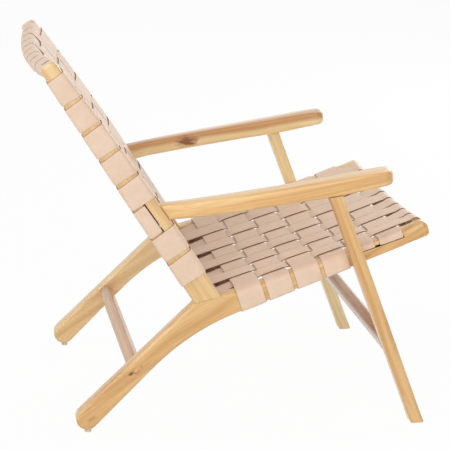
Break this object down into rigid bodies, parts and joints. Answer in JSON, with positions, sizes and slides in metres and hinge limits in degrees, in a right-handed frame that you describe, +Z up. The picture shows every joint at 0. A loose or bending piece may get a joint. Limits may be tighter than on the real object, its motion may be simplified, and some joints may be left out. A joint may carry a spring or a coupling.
{
  "type": "lounge chair",
  "caption": "Low wooden lounge chair with reclined back and seat of woven flat leather straps, open armrests, and side rails that curve down into the rear legs.",
  "frame": {"origin": "on the floor, under the middle of the chair's length and width", "axes": "+Z up, +X to the front of the chair, +Y to the sitter's left"},
  "size_m": [0.8152, 0.652, 0.77],
  "materials": {
    "wood": "oiled pale wood",
    "leather": "matte natural leather",
    "steel": "plain",
    "nylon": "matte"
  },
  "bodies": {
    "root": {"arm_dowel_left": "wood", "arm_dowel_right": "wood", "armrest_left": "wood", "armrest_right": "wood", "back_cross_strap_1": "leather", "back_cross_strap_2": "leather", "back_cross_strap_3": "leather", "back_cross_strap_4": "leather", "back_cross_strap_5": "leather", "back_cross_strap_6": "leather", "back_cross_strap_7": "leather", "back_cross_strap_8": "leather", "back_long_strap_1": "leather", "back_long_strap_2": "leather", "back_long_strap_3": "leather", "back_long_strap_4": "leather", "back_long_strap_5": "leather", "back_long_strap_6": "leather", "back_long_strap_7": "leather", "back_long_strap_8": "leather", "back_long_strap_9": "leather", "back_lower_bar": "wood", "back_post_left": "wood", "back_post_right": "wood", "front_leg_left": "wood", "front_leg_right": "wood", "front_stretcher": "wood", "leg_bolt_left": "steel", "leg_bolt_right": "steel", "leg_dowel_left": "wood", "leg_dowel_right": "wood", "post_dowel_left": "wood", "post_dowel_right": "wood", "rear_glide_left": "nylon", "rear_glide_right": "nylon", "rear_stretcher": "wood", "seat_cross_strap_1": "leather", "seat_cross_strap_2": "leather", "seat_cross_strap_3": "leather", "seat_cross_strap_4": "leather", "seat_cross_strap_5": "leather", "seat_cross_strap_6": "leather", "seat_front_bar": "wood", "seat_long_strap_1": "leather", "seat_long_strap_2": "leather", "seat_long_strap_3": "leather", "seat_long_strap_4": "leather", "seat_long_strap_5": "leather", "seat_long_strap_6": "leather", "seat_long_strap_7": "leather", "seat_long_strap_8": "leather", "seat_long_strap_9": "leather", "seat_rear_bar": "wood", "side_rail_left": "wood", "side_rail_right": "wood", "stretcher_plug_left": "wood", "stretcher_plug_right": "wood", "top_rail": "wood"}
  },
  "joints": []
}
